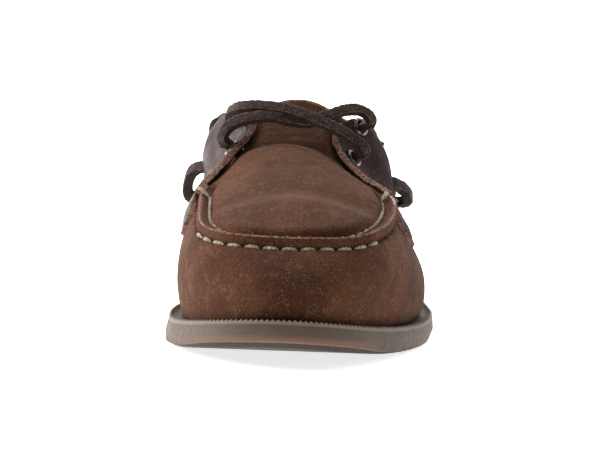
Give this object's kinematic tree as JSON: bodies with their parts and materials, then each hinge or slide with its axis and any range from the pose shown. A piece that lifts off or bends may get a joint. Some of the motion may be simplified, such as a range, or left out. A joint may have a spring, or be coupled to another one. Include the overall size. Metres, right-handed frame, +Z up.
{
  "type": "boat shoe",
  "caption": "Worn brown leather boat shoe for the left foot, with a hand-sewn moc toe, dark oiled flaps and quarters, rawhide laces and a flat rubber sole.",
  "frame": {"origin": "on the floor, under the middle of the shoe's box", "axes": "+Z up, +Y from toe to heel, +X to the shoe's outer (lateral) side"},
  "size_m": [0.1069, 0.292, 0.0923],
  "materials": {
    "nubuck": "matt",
    "oiled_leather": "satin",
    "rawhide": "matt",
    "lining_leather": "matt",
    "rubber_sole": "matt",
    "eyelet_metal": "satin"
  },
  "bodies": {
    "root": {"collar_lace_lateral_front": "rawhide", "collar_lace_lateral_heel": "rawhide", "collar_lace_lateral_middle": "rawhide", "collar_lace_medial_front": "rawhide", "collar_lace_medial_heel": "rawhide", "collar_lace_medial_middle": "rawhide", "eyelet_lateral_lower": "eyelet_metal", "eyelet_lateral_upper": "eyelet_metal", "eyelet_medial_lower": "eyelet_metal", "eyelet_medial_upper": "eyelet_metal", "insole": "lining_leather", "lace_crossing": "rawhide", "outsole": "rubber_sole", "quarter_lateral": "oiled_leather", "quarter_medial": "oiled_leather", "tongue": "nubuck", "upper": "nubuck"}
  },
  "joints": []
}
